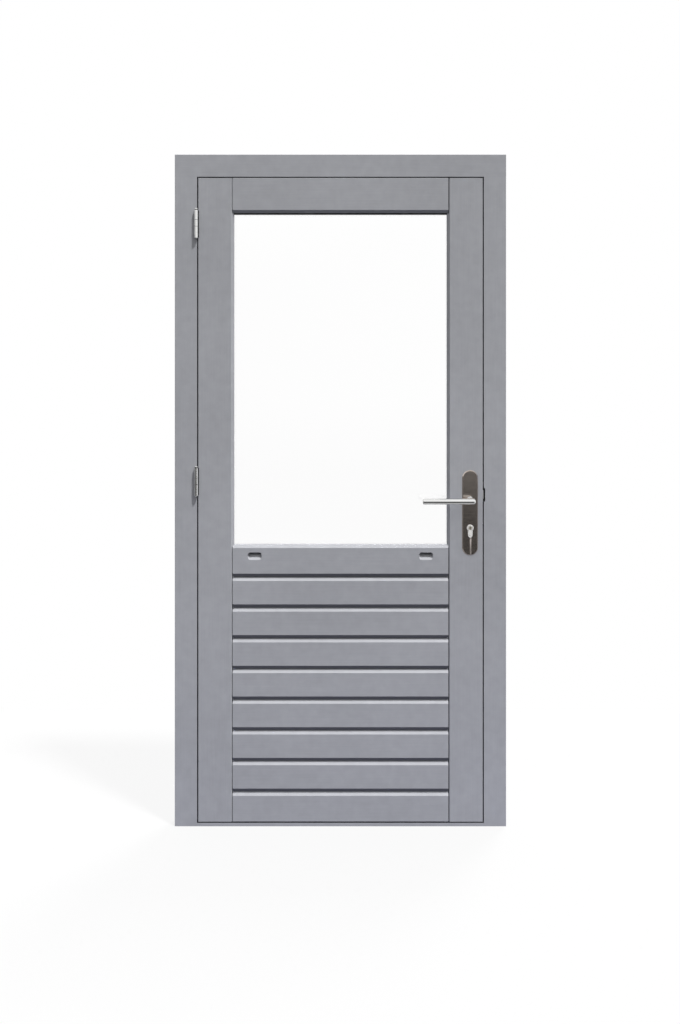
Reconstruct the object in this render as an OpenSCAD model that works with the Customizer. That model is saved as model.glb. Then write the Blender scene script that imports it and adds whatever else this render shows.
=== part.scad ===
// Hardwood door with a clear upper light, hung in its own frame.
// Millimetres. X runs from the hinge side to the lock side, Y from outside to inside, Z up.
// The origin is on the floor, at mid width, in the middle of the leaf's thickness.

/* [Frame] */
// Overall width of the frame
frame_w = 1090; // [900:1:1200]
// Overall height of the frame
frame_h = 2210; // [2150:1:2400]
// Depth of the frame from front to back
frame_d = 56; // [52:1:80]
// Width of the frame member that shows beside the leaf
frame_face = 74; // [60:1:90]
// Width of the stop that the leaf closes on
stop_w = 15; // [12:1:20]
// Height of the threshold in front of the stop
threshold_h = 12; // [8:1:20]
// Height of the threshold's stop above its front part
threshold_stop_h = 15; // [10:1:25]
// Gap between the leaf and the frame on all sides
leaf_gap = 3; // [2.5:0.1:4]
// Gap between the back of the leaf and the stop, filled by the seal
seal_gap = 3; // [2:0.1:4]
// Chamfer that eases the long arrises
arris = 0.8; // [0.5:0.1:3]
// Width of the tenons at the top of the jambs
jamb_tenon_w = 40; // [20:1:50]
// Length of the tenons at the top of the jambs
jamb_tenon_l = 50; // [30:1:65]

/* [Leaf] */
// Thickness of the leaf
leaf_t = 40; // [38:1:54]
// Width of the flat face of a stile
stile_face = 108; // [100:1:140]
// Width of the bevel on the inner arris of a stile
stile_bevel_w = 9; // [6:0.5:12]
// Part of the stile bevel left open beside the rail and board ends
vee_joint_w = 5; // [2:0.5:6]
// Depth of every bevel
bevel_d = 8; // [5:0.5:9]
// Width of the bevel along the top and bottom of the light
sash_bevel_w = 11; // [8:0.5:14]
// Width of the bevel along the edge of a board
board_bevel_w = 12; // [8:0.5:16]
// Height of the top rail, with its bevel
rail_top_h = 116.5; // [100:0.5:150]
// Height of the middle rail, with its bevels
rail_mid_h = 107.5; // [95:0.5:140]
// Height of the bottom rail, with its bevel
rail_bottom_h = 97; // [85:0.5:140]
// Height of one board
board_h = 101; // [80:0.5:120]
// Open hairline between two boards
board_play = 0.3; // [0.1:0.1:1]
// Thickness of the tongues on boards and rails
tongue_t = 12; // [8:0.5:14]
// Length of the end tongues that enter the stiles
tongue_l = 14; // [10:0.5:20]
// Height of the tongue along the top edge of a board
edge_tongue_h = 9; // [6:0.5:12]
// Free depth left under a tongue
tongue_play = 1; // [0.5:0.1:2]
// Length of the rail tenons beyond the stile shoulder
tenon_l = 30; // [20:1:34]
// Distance of a tenon from the edges of its rail
tenon_inset = 20; // [15:1:25]

/* [Light] */
// Thickness of the wood lip in front of the glass
lip_t = 15; // [12:0.5:16]
// Cover of the rebate around the glass
rebate_w = 13; // [11:0.5:16]
// Thickness of the glazing tape
tape_t = 2; // [1:0.5:3]
// Thickness of one pane
pane_t = 4; // [3:0.5:5]
// Space between the two panes
pane_gap = 6; // [5:0.5:7]
// Edge clearance of the glass in its rebate
glass_play = 3; // [2:0.5:4]
// Width of the spacer between the panes
spacer_w = 7; // [6:0.5:9]
// Distance that the glazing beads stand back from the sight edge
bead_back = 4; // [0:0.5:5]
// Distance that the top bead stands back from the sight edge
bead_top_back = 1.5; // [0:0.5:5]
// Bevel on the glazing beads
bead_bevel = 4; // [2:0.5:6]
// Length of a setting block
block_l = 80; // [50:1:120]
// Distance of a setting block's middle from the end of the pane
block_in = 111; // [65:1:150]
// Width of a drain slot in the middle rail
slot_w = 46; // [30:1:60]
// Thickness of the cutter that makes a drain slot
slot_t = 14; // [8:0.5:16]
// Distance of a drain slot's middle from the sight edge of the stile
slot_in = 69; // [40:1:120]
// Height of a drain slot below the top of the middle rail
slot_drop = 38; // [34:0.5:45]
// Rise of the drain slots
slot_angle = 55; // [45:1:60]

/* [Hinges] */
// Height of a hinge
hinge_h = 89; // [76:1:110]
// Distance from the top of the leaf down to the middle of the top hinge
hinge_top_drop = 152; // [120:1:200]
// Distance between the middles of the two hinges
hinge_pitch = 847; // [600:1:950]
// Outer radius of the knuckles
knuckle_r = 6; // [5.5:0.1:7]
// Radius of the hinge pin
pin_r = 3; // [2.5:0.1:3.5]
// Running clearance of the pin in the knuckles
pin_play = 0.05; // [0.02:0.01:0.1]
// Gap between two knuckles
knuckle_gap = 1.2; // [0.3:0.1:1.5]
// Gap between the knuckles and the front of the frame
knuckle_off = 0.5; // [0.4:0.1:2]
// Thickness of a hinge flap
flap_t = 2.5; // [2:0.1:3]
// Width of a hinge flap
flap_w = 32; // [28:1:36]
// Distance that the flaps stand back from the front
flap_in = 4; // [2:0.5:5]
// Height of the black washer under a pin's head
washer_h = 3; // [1:0.5:4]
// Length of the hinge screws
hinge_screw_l = 28; // [16:1:40]

/* [Lock] */
// Distance of the lever's axis from the edge of the leaf
backset = 42; // [40:1:55]
// Height of the lever's axis above the floor
lever_z = 1074; // [1050:1:1150]
// Distance from the lever's axis down to the key cylinder
key_drop = 92; // [90:1:100]
// Distance from the lever's axis up to the latch
latch_rise = 16; // [15:0.5:18]
// Width of the lock case behind the faceplate
case_w = 75; // [75:1:80]
// Thickness of the lock case
case_t = 16; // [15.5:0.1:18]
// Sheet of the lock case
case_wall = 1.5; // [1:0.1:1.7]
// Height of the lock case above the lever's axis
case_up = 56; // [45:1:60]
// Height of the lock case below the key cylinder
case_down = 37; // [30:1:40]
// Thickness of the faceplate and of the strike plate
faceplate_t = 3; // [2:0.1:3.5]
// Width of the faceplate and of the strike plate
faceplate_w = 24; // [20:1:28]
// Reach of the faceplate beyond the ends of the lock case
faceplate_over = 25; // [18:1:35]
// Distance that the latch stands out of the leaf
latch_out = 6; // [4:0.5:7]
// Height of the latch head
latch_h = 28; // [22:1:34]
// Thickness of the latch head
latch_t = 12; // [9:0.5:12]
// Radius at which the follower's finger pulls the latch
finger_r = 14; // [13.5:0.1:14.5]
// Turn of the lever from rest to stop
lever_turn = 35; // [25:1:40]
// Height of the deadbolt
bolt_h = 24; // [18:1:28]
// Thickness of the deadbolt
bolt_t = 10; // [8:0.5:11]
// Throw of the deadbolt
bolt_throw = 20; // [14:1:20]
// Free play around the latch and the deadbolt
bolt_play = 0.5; // [0.3:0.1:0.8]
// Height of the keep's opening for the latch
keep_h = 44; // [38:1:50]
// Depth of the latch's keep behind the face of the jamb
keep_d = 5; // [3.5:0.1:6]
// Distance that the key cylinder stands out of the plates
cylinder_out = 3; // [1:0.5:4]
// Radius of the turning plugs
plug_r = 6.5; // [5.5:0.1:6.6]
// Running clearance of the plugs
plug_play = 0.05; // [0.02:0.01:0.1]

/* [Handle] */
// Width of the long plates
plate_w = 52; // [46:1:56]
// Height of the long plates
plate_h = 280; // [250:1:300]
// Thickness of the long plates
plate_t = 5; // [2:0.5:6]
// Height of the plates' middle above the midpoint between lever and key
plate_rise = 3.5; // [0:0.5:6]
// Radius of the lever bar
bar_r = 10; // [8:0.5:11]
// Length of the lever bar from the axis to its long end
bar_long = 160; // [110:1:170]
// Length of the lever bar from the axis to its short end
bar_short = 10; // [10:1:25]
// Distance of the bar's axis from the leaf
bar_off = 52; // [42:1:65]
// Radius of the inner knob
knob_r = 26; // [20:1:30]
// Thickness of the inner knob's head
knob_t = 30; // [22:1:34]
// Distance from the leaf to the face of the inner knob
knob_off = 62; // [55:1:70]
// Radius of the neck of lever and knob
neck_r = 9; // [7:0.5:9]
// Radius of the collar at the foot of the neck
collar_r = 12; // [10:0.5:14]
// Height of the collar
collar_h = 6; // [3:0.5:10]
// Side of the square spindle
spindle_s = 8; // [7:0.5:8]
// Gap between the turning levers and the fixed plates
turn_gap = 0.3; // [0.2:0.1:0.6]

/* [Hidden] */
$fn = 64;
eps = 0.01;

// Colours
paint = "#96979b";
steel = "#b9b7b3";
dark_steel = "#5f5a56";
rubber = "#1c1c1e";

// Frame levels
half_w = frame_w / 2;
front_y = -leaf_t / 2;
leaf_back_y = leaf_t / 2;
frame_back_y = front_y + frame_d;
stop_y = leaf_back_y + seal_gap;
rebate_x = half_w - frame_face;
stop_x = rebate_x - stop_w;
head_z = frame_h - frame_face;
head_stop_z = head_z - stop_w;
sill_stop_z = threshold_h + threshold_stop_h;
tenon_t = 20;

// Leaf levels
leaf_x = rebate_x - leaf_gap;
leaf_top = head_z - leaf_gap;
leaf_bottom = threshold_h + leaf_gap;
face_x = leaf_x - stile_face;
sight_x = face_x - stile_bevel_w;
end_x = face_x - vee_joint_w;
bevel_y = leaf_t / 2 - bevel_d;
cope_y = leaf_t / 2 - bevel_d * vee_joint_w / stile_bevel_w;
board_count = 7;
boards_z = leaf_bottom + rail_bottom_h;
mid_z = boards_z + board_count * board_h;
sight_bottom = mid_z + rail_mid_h;
sight_top = leaf_top - rail_top_h;

// Glazing levels
rebate_y = front_y + lip_t;
tape_y = rebate_y + tape_t;
inner_pane_y = tape_y + pane_t + pane_gap;
bead_y = inner_pane_y + pane_t;
bead_h = rebate_w - bead_back;
bead_top_h = rebate_w - bead_top_back;
tape_back = 1;
rebate_side = sight_x + rebate_w;
rebate_bottom = sight_bottom - rebate_w;
rebate_top = sight_top + rebate_w;
glass_x = rebate_side - glass_play;
glass_bottom = rebate_bottom + glass_play;
glass_top = rebate_top - glass_play;
block_x = glass_x - block_in;
slot_x = sight_x - slot_in;

// Seal sizes
seal_x = stop_x + stop_w / 2;
seal_z = head_stop_z + stop_w / 2;
seal_stem_w = 3.6;
seal_stem_d = 6;
seal_neck_w = 1.6;
seal_clear = 0.3;
seal_r = (seal_gap - seal_clear) / 2;

// Hinge places
axis_x = -rebate_x - flap_t;
axis_y = front_y - knuckle_off - knuckle_r;
knuckle_shares = [0, 0.4, 0.64, 1];
frame_knuckles = [0, 2];
leaf_knuckles = [1];
jog_clear = 0.25;
jog_t = min(flap_t, leaf_gap - 2 * jog_clear);
jog_x = -rebate_x + jog_clear;
pin_head_r = knuckle_r - 0.5;
washer_r = knuckle_r - 1;
flap_clear = 0.1;
hinge_screw_n = 4;
hinge_top_z = leaf_top - hinge_top_drop;
hinge_mid_z = hinge_top_z - hinge_pitch;
hinge_levels = [hinge_top_z, hinge_mid_z];

// Screw sizes
screw_r = 2;
screw_head_r = 4.5;
screw_head_h = 2.2;
screw_play = 0.1;

// Lock places
lock_x = leaf_x - backset;
key_z = lever_z - key_drop;
latch_z = lever_z + latch_rise;
case_right = leaf_x - faceplate_t;
case_left = case_right - case_w;
case_top = lever_z + case_up;
case_bottom = key_z - case_down;
case_play = 0.5;
inner_t = case_t - 2 * case_wall;
faceplate_bottom = case_bottom - faceplate_over;
faceplate_top = case_top + faceplate_over;
faceplate_screw_in = 8;
hub_r = 8.5;
hub_play = 0.05;
spindle_play = 0.05;
finger_w = 6;
finger_shank_w = 3.6;
finger_t = 6;
finger_x = lock_x + finger_r * sin(lever_turn / 2);
latch_travel = 2 * finger_r * sin(lever_turn / 2);
finger_play = 0.3;
latch_back = finger_x + finger_w + latch_travel + 6;
tail_h = 6;
tail_z = lever_z + finger_r + finger_w / 2 + 1.5;
lug_w = 4;
lug_right = finger_x - finger_w / 2 - finger_play;
lug_z = lever_z + hub_r + 2;
spring_wire = 1;
spring_r = 2.6;
spring_turns = 7;
spring_seat = 0.2;

// Key cylinder sizes
euro_r = 8.5;
euro_stem_w = 10;
euro_drop = 24.5;
cam_t = 9.6;
cam_slot_t = 10.4;
cam_r = 8.3;
cam_reach = 15.3;
cam_w = 8;
cam_clear = 0.7;
fix_screw_r = 2.5;
fix_screw_z = key_z - (cam_reach + cam_clear + euro_drop) / 2;
cylinder_y = leaf_t / 2 + plate_t + cylinder_out;
key_slot_w = 2;
key_slot_h = 8;
bolt_z = key_z + cam_reach + 27;
bolt_lug_z = key_z + cam_reach - 5.8;
bolt_lug_w = 6;
bolt_slot_half = 14;
bolt_slot_x = lock_x - bolt_throw / 2;
bolt_tip = leaf_x - 0.2;

// Strike sizes
strike_over = 20;
strike_top = latch_z + keep_h / 2 + strike_over;
strike_bottom = bolt_z - bolt_h / 2 - strike_over;
strike_back = 8;
pocket_play = 2;

// Handle places
plate_z = lever_z - key_drop / 2 + plate_rise;
plate_y = front_y - plate_t;
plate_ease = 0.6 * plate_t;
plate_straight = plate_h - plate_w;
plate_bolt_in = 18;
plate_bolt_r = 2.5;
sleeve_r = 4.5;
sleeve_l = 15;
bar_y = front_y - bar_off;
bar_ease = 1.5;
short_ease = 3.5;
spindle_half = -bar_y - bar_r - 6;
knob_y = front_y - knob_off;
knob_ease = 4;
knob_cone = 12;
knob_step = 1;
set_screw_r = 2.5;
set_screw_y = plate_y - collar_h - 6;

// Draws a flat shape given in X and Y along Z
module along_z(z0, z1) {
    translate([0, 0, z0])
        linear_extrude(z1 - z0)
            children();
}

// Draws a flat shape given in X and Z along Y
module along_y(y0, y1) {
    translate([0, y1, 0])
        rotate([90, 0, 0])
            linear_extrude(y1 - y0)
                children();
}

// Draws a flat shape given in Y and Z along X
module along_x(x0, x1) {
    translate([x0, 0, 0])
        rotate([90, 0, 90])
            linear_extrude(x1 - x0)
                children();
}

// A box between two corners
module box(low, high) {
    translate(low)
        cube(high - low);
}

// A round rod along Y
module rod_y(x, z, r, y0, y1) {
    translate([x, y1, z])
        rotate([90, 0, 0])
            cylinder(r = r, h = y1 - y0);
}

// A round rod along X
module rod_x(y, z, r, x0, x1) {
    translate([x0, y, z])
        rotate([0, 90, 0])
            cylinder(r = r, h = x1 - x0);
}

// A countersunk screw that points along -Z, its head flush with Z = 0
module screw_shape(head_r, head_h, shank_r, length, play) {
    rotate_extrude()
        polygon([
            [0, play], [head_r + play, play], [head_r + play, 0],
            [shank_r + play, -head_h], [shank_r + play, -length - play], [0, -length - play]
        ]);
}

// A wood screw that enters along +X or -X from the face at x
module side_screw(x, y, z, way, length, play) {
    translate([x, y, z])
        rotate([0, -way * 90, 0])
            screw_shape(screw_head_r, screw_head_h, screw_r, length, play);
}

// Section of a jamb on the lock side
module jamb_section() {
    polygon([
        [half_w - arris, front_y], [half_w, front_y + arris],
        [half_w, frame_back_y - arris], [half_w - arris, frame_back_y],
        [stop_x + arris, frame_back_y], [stop_x, frame_back_y - arris],
        [stop_x, stop_y], [rebate_x, stop_y], [rebate_x, front_y]
    ]);
}

// Triangle that eases an arris at the origin towards +X and +Y
module arris_cut() {
    polygon([[-eps, -eps], [arris, -eps], [-eps, arris]]);
}

// Section of the head
module head_section() {
    polygon([
        [front_y, head_z], [stop_y, head_z], [stop_y, head_stop_z], [frame_back_y, head_stop_z],
        [frame_back_y, frame_h - arris], [frame_back_y - arris, frame_h],
        [front_y + arris, frame_h], [front_y, frame_h - arris]
    ]);
}

// Square outline of the head that the jambs are cut back to
module head_outline() {
    polygon([
        [front_y - 1, head_z], [stop_y, head_z], [stop_y, head_stop_z],
        [frame_back_y + 1, head_stop_z], [frame_back_y + 1, frame_h + 1], [front_y - 1, frame_h + 1]
    ]);
}

// Tenon at the top of a jamb on the lock side
module jamb_tenon(play) {
    tenon_x = half_w - frame_face / 2;
    tenon_y = (front_y + frame_back_y - tenon_t) / 2;
    box([tenon_x - jamb_tenon_w / 2, tenon_y, head_z - eps],
        [tenon_x + jamb_tenon_w / 2, tenon_y + tenon_t, head_z + jamb_tenon_l + play]);
}

// Jamb on the lock side, without the hardware cuts
module plain_jamb() {
    difference() {
        along_z(0, frame_h)
            jamb_section();
        along_z(threshold_h, head_z)
            translate([rebate_x, front_y])
                arris_cut();
        along_x(0, frame_w)
            head_outline();
        along_z(sill_stop_z, frame_h)
            seal_groove();
    }
    jamb_tenon(0);
}

// Groove for a seal in the face of the stop
module seal_groove() {
    translate([seal_x - seal_stem_w / 2 - flap_clear, stop_y - eps])
        square([seal_stem_w + 2 * flap_clear, seal_stem_d + eps]);
}

// Section of a seal: a stem in the groove, and a bulb on a neck in front of it
module seal_section() {
    translate([-seal_stem_w / 2, 0])
        square([seal_stem_w, seal_stem_d]);
    translate([-seal_neck_w / 2, -seal_r])
        square([seal_neck_w, seal_r + eps]);
    translate([0, -seal_r])
        circle(seal_r);
}

module frame_head() {
    color(paint)
        difference() {
            along_x(-half_w, half_w)
                head_section();
            along_x(-rebate_x, rebate_x)
                translate([front_y, head_z])
                    arris_cut();
            along_x(-stop_x, stop_x)
                translate([frame_back_y, head_stop_z])
                    mirror([1, 0])
                        arris_cut();
            for (side = [0, 1])
                mirror([side, 0, 0])
                    jamb_tenon(tongue_play);
            box([-seal_x, stop_y - eps, seal_z - seal_stem_w / 2 - flap_clear],
                [seal_x, stop_y + seal_stem_d, seal_z + seal_stem_w / 2 + flap_clear]);
        }
}

module frame_jamb_hinge() {
    color(paint)
        difference() {
            mirror([1, 0, 0])
                plain_jamb();
            for (z = hinge_levels)
                box([axis_x, front_y - 1, z - hinge_h / 2 - flap_clear],
                    [-rebate_x + 1, front_y + flap_w + flap_clear, z + hinge_h / 2 + flap_clear]);
            frame_flap_screws(screw_play);
        }
}

module frame_jamb_lock() {
    color(paint)
        difference() {
            plain_jamb();
            box([rebate_x - 1, -faceplate_w / 2 - flap_clear, strike_bottom - flap_clear],
                [rebate_x + faceplate_t, faceplate_w / 2 + flap_clear, strike_top + flap_clear]);
            latch_keep(0);
            box([rebate_x, -bolt_t / 2 - pocket_play, bolt_z - bolt_h / 2 - pocket_play],
                [leaf_x + bolt_throw + pocket_play, bolt_t / 2 + pocket_play,
                    bolt_z + bolt_h / 2 + pocket_play]);
            strike_screw_set(screw_play);
        }
}

// Keep for the latch, open to the front so that the leaf can swing
module latch_keep(play) {
    box([rebate_x - 1, front_y - 1, latch_z - keep_h / 2],
        [rebate_x + keep_d + play, strike_back, latch_z + keep_h / 2]);
}

module frame_threshold() {
    color(paint)
        difference() {
            along_x(-rebate_x, rebate_x)
                polygon([
                    [front_y, 0], [frame_back_y, 0], [frame_back_y, sill_stop_z - arris],
                    [frame_back_y - arris, sill_stop_z], [stop_y, sill_stop_z], [stop_y, threshold_h],
                    [front_y, threshold_h]
                ]);
            for (side = [0, 1])
                mirror([side, 0, 0])
                    box([stop_x, stop_y, -1], [rebate_x + 1, frame_back_y + 1, sill_stop_z + 1]);
        }
}

module seal_hinge_side() {
    color(rubber)
        mirror([1, 0, 0])
            seal_lock_shape();
}

module seal_lock_side() {
    color(rubber)
        seal_lock_shape();
}

// Upright seal on the lock side
module seal_lock_shape() {
    along_z(sill_stop_z, head_stop_z)
        translate([seal_x, stop_y])
            seal_section();
}

module seal_head() {
    color(rubber)
        along_x(-seal_x + seal_stem_w, seal_x - seal_stem_w)
            translate([stop_y, seal_z])
                rotate(-90)
                    seal_section();
}

// Bottom and top of knuckle number i of the hinge at level z
function knuckle_low(z, i) = z + (knuckle_shares[i] - 0.5) * hinge_h + (i > 0 ? knuckle_gap / 2 : 0);
function knuckle_high(z, i) = z + (knuckle_shares[i + 1] - 0.5) * hinge_h - (i < 2 ? knuckle_gap / 2 : 0);

// The numbered knuckles of the hinge at level z
module knuckles(z, numbers) {
    for (i = numbers)
        translate([axis_x, axis_y, knuckle_low(z, i)])
            cylinder(r = knuckle_r, h = knuckle_high(z, i) - knuckle_low(z, i));
}

// Bore of the hinge at level z
module pin_bore(z) {
    translate([axis_x, axis_y, z - hinge_h / 2 - 1])
        cylinder(r = pin_r + pin_play, h = hinge_h + 2);
}

// Place of screw number k in the flaps of the hinge at level z
function flap_screw_y(k) = front_y + flap_w * (k % 2 == 0 ? 0.36 : 0.7);
function flap_screw_z(z, k) = z + (k - (hinge_screw_n - 1) / 2) * hinge_h / hinge_screw_n;

module frame_flap_screws(play) {
    for (z = hinge_levels)
        for (k = [0 : hinge_screw_n - 1])
            side_screw(-rebate_x, flap_screw_y(k), flap_screw_z(z, k), -1, hinge_screw_l, play);
}

module leaf_flap_screws(play) {
    for (z = hinge_levels)
        for (k = [0 : hinge_screw_n - 1])
            side_screw(-leaf_x, flap_screw_y(k), flap_screw_z(z, k), 1, hinge_screw_l, play);
}

// Flap let into the jamb, with the lower and the upper knuckle
module frame_flap(z) {
    color(steel)
        difference() {
            union() {
                box([axis_x, front_y + flap_in, z - hinge_h / 2],
                    [-rebate_x, front_y + flap_w, z + hinge_h / 2]);
                for (i = frame_knuckles)
                    box([axis_x, axis_y, knuckle_low(z, i)],
                        [-rebate_x, front_y + flap_in + eps, knuckle_high(z, i)]);
                knuckles(z, frame_knuckles);
            }
            pin_bore(z);
            frame_flap_screws(screw_play);
        }
}

// Flap let into the edge of the leaf, jogged inside the gap to reach the middle knuckle
module leaf_flap(z) {
    jog_y = front_y + flap_in;
    color(steel)
        difference() {
            union() {
                box([-leaf_x, jog_y, z - hinge_h / 2],
                    [-leaf_x + flap_t, front_y + flap_w, z + hinge_h / 2]);
                for (i = leaf_knuckles) {
                    box([jog_x, jog_y, knuckle_low(z, i)],
                        [-leaf_x + flap_t, jog_y + jog_t, knuckle_high(z, i)]);
                    box([jog_x, axis_y, knuckle_low(z, i)],
                        [jog_x + jog_t, jog_y + jog_t, knuckle_high(z, i)]);
                }
                knuckles(z, leaf_knuckles);
            }
            pin_bore(z);
            leaf_flap_screws(screw_play);
        }
}

// Domed head of a hinge pin, its foot at 0
module pin_head() {
    rotate_extrude()
        polygon([
            [0, 0], [pin_head_r, 0], [pin_head_r, 1.5], [0.85 * pin_head_r, 3],
            [0.5 * pin_head_r, 4.2], [0, 4.6]
        ]);
}

// Loose pin with a domed head at both ends, the upper one on a washer
module hinge_pin(z) {
    color(steel)
        translate([axis_x, axis_y, z]) {
            translate([0, 0, -hinge_h / 2])
                cylinder(r = pin_r, h = hinge_h + washer_h);
            translate([0, 0, hinge_h / 2 + washer_h])
                pin_head();
            translate([0, 0, -hinge_h / 2])
                mirror([0, 0, 1])
                    pin_head();
        }
}

module hinge_washers() {
    color(rubber)
        for (z = hinge_levels)
            translate([axis_x, axis_y, z + hinge_h / 2])
                difference() {
                    cylinder(r = washer_r, h = washer_h);
                    translate([0, 0, -1])
                        cylinder(r = pin_r + pin_play, h = washer_h + 2);
                }
}

module hinge_top_frame_flap() {
    frame_flap(hinge_top_z);
}

module hinge_top_leaf_flap() {
    leaf_flap(hinge_top_z);
}

module hinge_top_pin() {
    hinge_pin(hinge_top_z);
}

module hinge_mid_frame_flap() {
    frame_flap(hinge_mid_z);
}

module hinge_mid_leaf_flap() {
    leaf_flap(hinge_mid_z);
}

module hinge_mid_pin() {
    hinge_pin(hinge_mid_z);
}

module hinge_screws_frame() {
    color(steel)
        frame_flap_screws(0);
}

module hinge_screws_leaf() {
    color(steel)
        leaf_flap_screws(0);
}

module strike_plate() {
    color(steel)
        difference() {
            box([rebate_x, -faceplate_w / 2, strike_bottom],
                [rebate_x + faceplate_t, faceplate_w / 2, strike_top]);
            latch_keep(1);
            box([rebate_x - 1, -bolt_t / 2 - bolt_play, bolt_z - bolt_h / 2 - bolt_play],
                [rebate_x + faceplate_t + 1, bolt_t / 2 + bolt_play, bolt_z + bolt_h / 2 + bolt_play]);
            strike_screw_set(screw_play);
        }
}

module strike_screw_set(play) {
    for (z = [strike_bottom + faceplate_screw_in, strike_top - faceplate_screw_in])
        side_screw(rebate_x, 0, z, 1, hinge_screw_l, play);
}

module strike_screws() {
    color(steel)
        strike_screw_set(0);
}

// Section of a stile on the lock side
module stile_section() {
    polygon([
        [leaf_x - arris, front_y], [leaf_x, front_y + arris],
        [leaf_x, leaf_back_y - arris], [leaf_x - arris, leaf_back_y],
        [face_x, leaf_back_y], [sight_x, bevel_y], [sight_x, -bevel_y], [face_x, front_y]
    ]);
}

// Stile on the lock side with its rebate, groove and mortises
module plain_stile() {
    difference() {
        along_z(leaf_bottom, leaf_top)
            stile_section();
        box([sight_x - 1, rebate_y, rebate_bottom], [rebate_side, leaf_back_y + 1, rebate_top]);
        for (span = [[leaf_bottom - 1, sight_bottom], [sight_top, leaf_top + 1]])
            box([sight_x - 1, -tongue_t / 2, span[0]],
                [sight_x + tongue_l + tongue_play, tongue_t / 2, span[1]]);
        for (span = tenon_spans)
            box([sight_x, -tongue_t / 2, span[0]],
                [sight_x + tenon_l + tongue_play, tongue_t / 2, span[1]]);
    }
}

// Heights between which the rails carry tenons
tenon_spans = [
    [leaf_bottom + tenon_inset, boards_z - tenon_inset],
    [mid_z + tenon_inset, rebate_bottom - tenon_inset],
    [rebate_top + tenon_inset, leaf_top - tenon_inset]
];

module stile_hinge() {
    color(paint)
        difference() {
            mirror([1, 0, 0])
                plain_stile();
            for (z = hinge_levels)
                box([-leaf_x - 1, front_y - 1, z - hinge_h / 2 - flap_clear],
                    [-leaf_x + flap_t, front_y + flap_w + flap_clear, z + hinge_h / 2 + flap_clear]);
            leaf_flap_screws(screw_play);
        }
}

module stile_lock() {
    color(paint)
        difference() {
            plain_stile();
            box([case_left - case_play, -case_t / 2 - case_play, case_bottom - case_play],
                [leaf_x + 1, case_t / 2 + case_play, case_top + case_play]);
            box([case_right, -faceplate_w / 2 - flap_clear, faceplate_bottom - flap_clear],
                [leaf_x + 1, faceplate_w / 2 + flap_clear, faceplate_top + flap_clear]);
            rod_y(lock_x, lever_z, neck_r + 1.5, front_y - 1, leaf_back_y + 1);
            along_y(front_y - 1, leaf_back_y + 1)
                euro_profile(1);
            for (z = plate_bolt_levels)
                rod_y(lock_x, z, sleeve_r + case_play, front_y - 1, leaf_back_y + 1);
            faceplate_screw_set(screw_play);
        }
}

// Plan of a rail or board: its faces end beside the stile bevel and its body is coped over it
module end_plan(reach) {
    half = [
        [end_x, front_y], [end_x, -cope_y], [sight_x, -bevel_y], [sight_x, -tongue_t / 2],
        [reach, -tongue_t / 2], [reach, tongue_t / 2], [sight_x, tongue_t / 2],
        [sight_x, bevel_y], [end_x, cope_y], [end_x, leaf_back_y]
    ];
    mirrored = [for (i = [len(half) - 1 : -1 : 0]) [-half[i][0], half[i][1]]];
    polygon(concat(half, mirrored));
}

// A rail or board: its section, given in Y and Z, between the two stiles
module cross_piece(z0, z1) {
    intersection() {
        along_x(-sight_x - tenon_l - 1, sight_x + tenon_l + 1)
            children();
        along_z(z0 - 1, z1 + 1)
            end_plan(sight_x + tongue_l);
    }
}

// The two tenons of a rail
module tenons(span) {
    for (side = [0, 1])
        mirror([side, 0, 0])
            box([sight_x - 1, -tongue_t / 2, span[0]], [sight_x + tenon_l, tongue_t / 2, span[1]]);
}

// Points of a bevelled lower edge with a groove, from the front to the back
function grooved_edge(z) = [
    [front_y, z + board_bevel_w], [-bevel_y, z + board_play],
    [-tongue_t / 2, z + board_play], [-tongue_t / 2, z + edge_tongue_h + tongue_play],
    [tongue_t / 2, z + edge_tongue_h + tongue_play], [tongue_t / 2, z + board_play],
    [bevel_y, z + board_play], [leaf_back_y, z + board_bevel_w]
];

// Points of a bevelled upper edge with a tongue, from the back to the front
function tongued_edge(z) = [
    [leaf_back_y, z - board_bevel_w], [bevel_y, z], [tongue_t / 2, z], [tongue_t / 2, z + edge_tongue_h],
    [-tongue_t / 2, z + edge_tongue_h], [-tongue_t / 2, z], [-bevel_y, z], [front_y, z - board_bevel_w]
];

module rail_top() {
    color(paint) {
        cross_piece(sight_top, leaf_top)
            polygon([
                [front_y, sight_top + sash_bevel_w], [-bevel_y, sight_top], [rebate_y, sight_top],
                [rebate_y, rebate_top], [leaf_back_y, rebate_top], [leaf_back_y, leaf_top - arris],
                [leaf_back_y - arris, leaf_top], [front_y + arris, leaf_top], [front_y, leaf_top - arris]
            ]);
        tenons(tenon_spans[2]);
    }
}

module rail_mid() {
    color(paint)
        difference() {
            union() {
                cross_piece(mid_z, sight_bottom)
                    polygon(concat(grooved_edge(mid_z), [
                        [leaf_back_y, rebate_bottom], [rebate_y, rebate_bottom], [rebate_y, sight_bottom],
                        [-bevel_y, sight_bottom], [front_y, sight_bottom - sash_bevel_w]
                    ]));
                tenons(tenon_spans[1]);
            }
            for (side = [-1, 1])
                drain_slot(side * slot_x);
        }
}

// Inclined slot that drains the glazing rebate to the front
module drain_slot(x) {
    reach = 40;
    translate([x, front_y, sight_bottom - slot_drop])
        rotate([slot_angle - 90, 0, 0]) {
            for (side = [-1, 1])
                translate([side * (slot_w - slot_t) / 2, 0, -reach / 2])
                    cylinder(d = slot_t, h = 1.5 * reach);
            translate([-(slot_w - slot_t) / 2, -slot_t / 2, -reach / 2])
                cube([slot_w - slot_t, slot_t, 1.5 * reach]);
        }
}

module rail_bottom() {
    color(paint) {
        cross_piece(leaf_bottom, boards_z + edge_tongue_h)
            polygon(concat([
                [front_y, leaf_bottom + arris], [front_y + arris, leaf_bottom],
                [leaf_back_y - arris, leaf_bottom], [leaf_back_y, leaf_bottom + arris]
            ], tongued_edge(boards_z)));
        tenons(tenon_spans[0]);
    }
}

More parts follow.
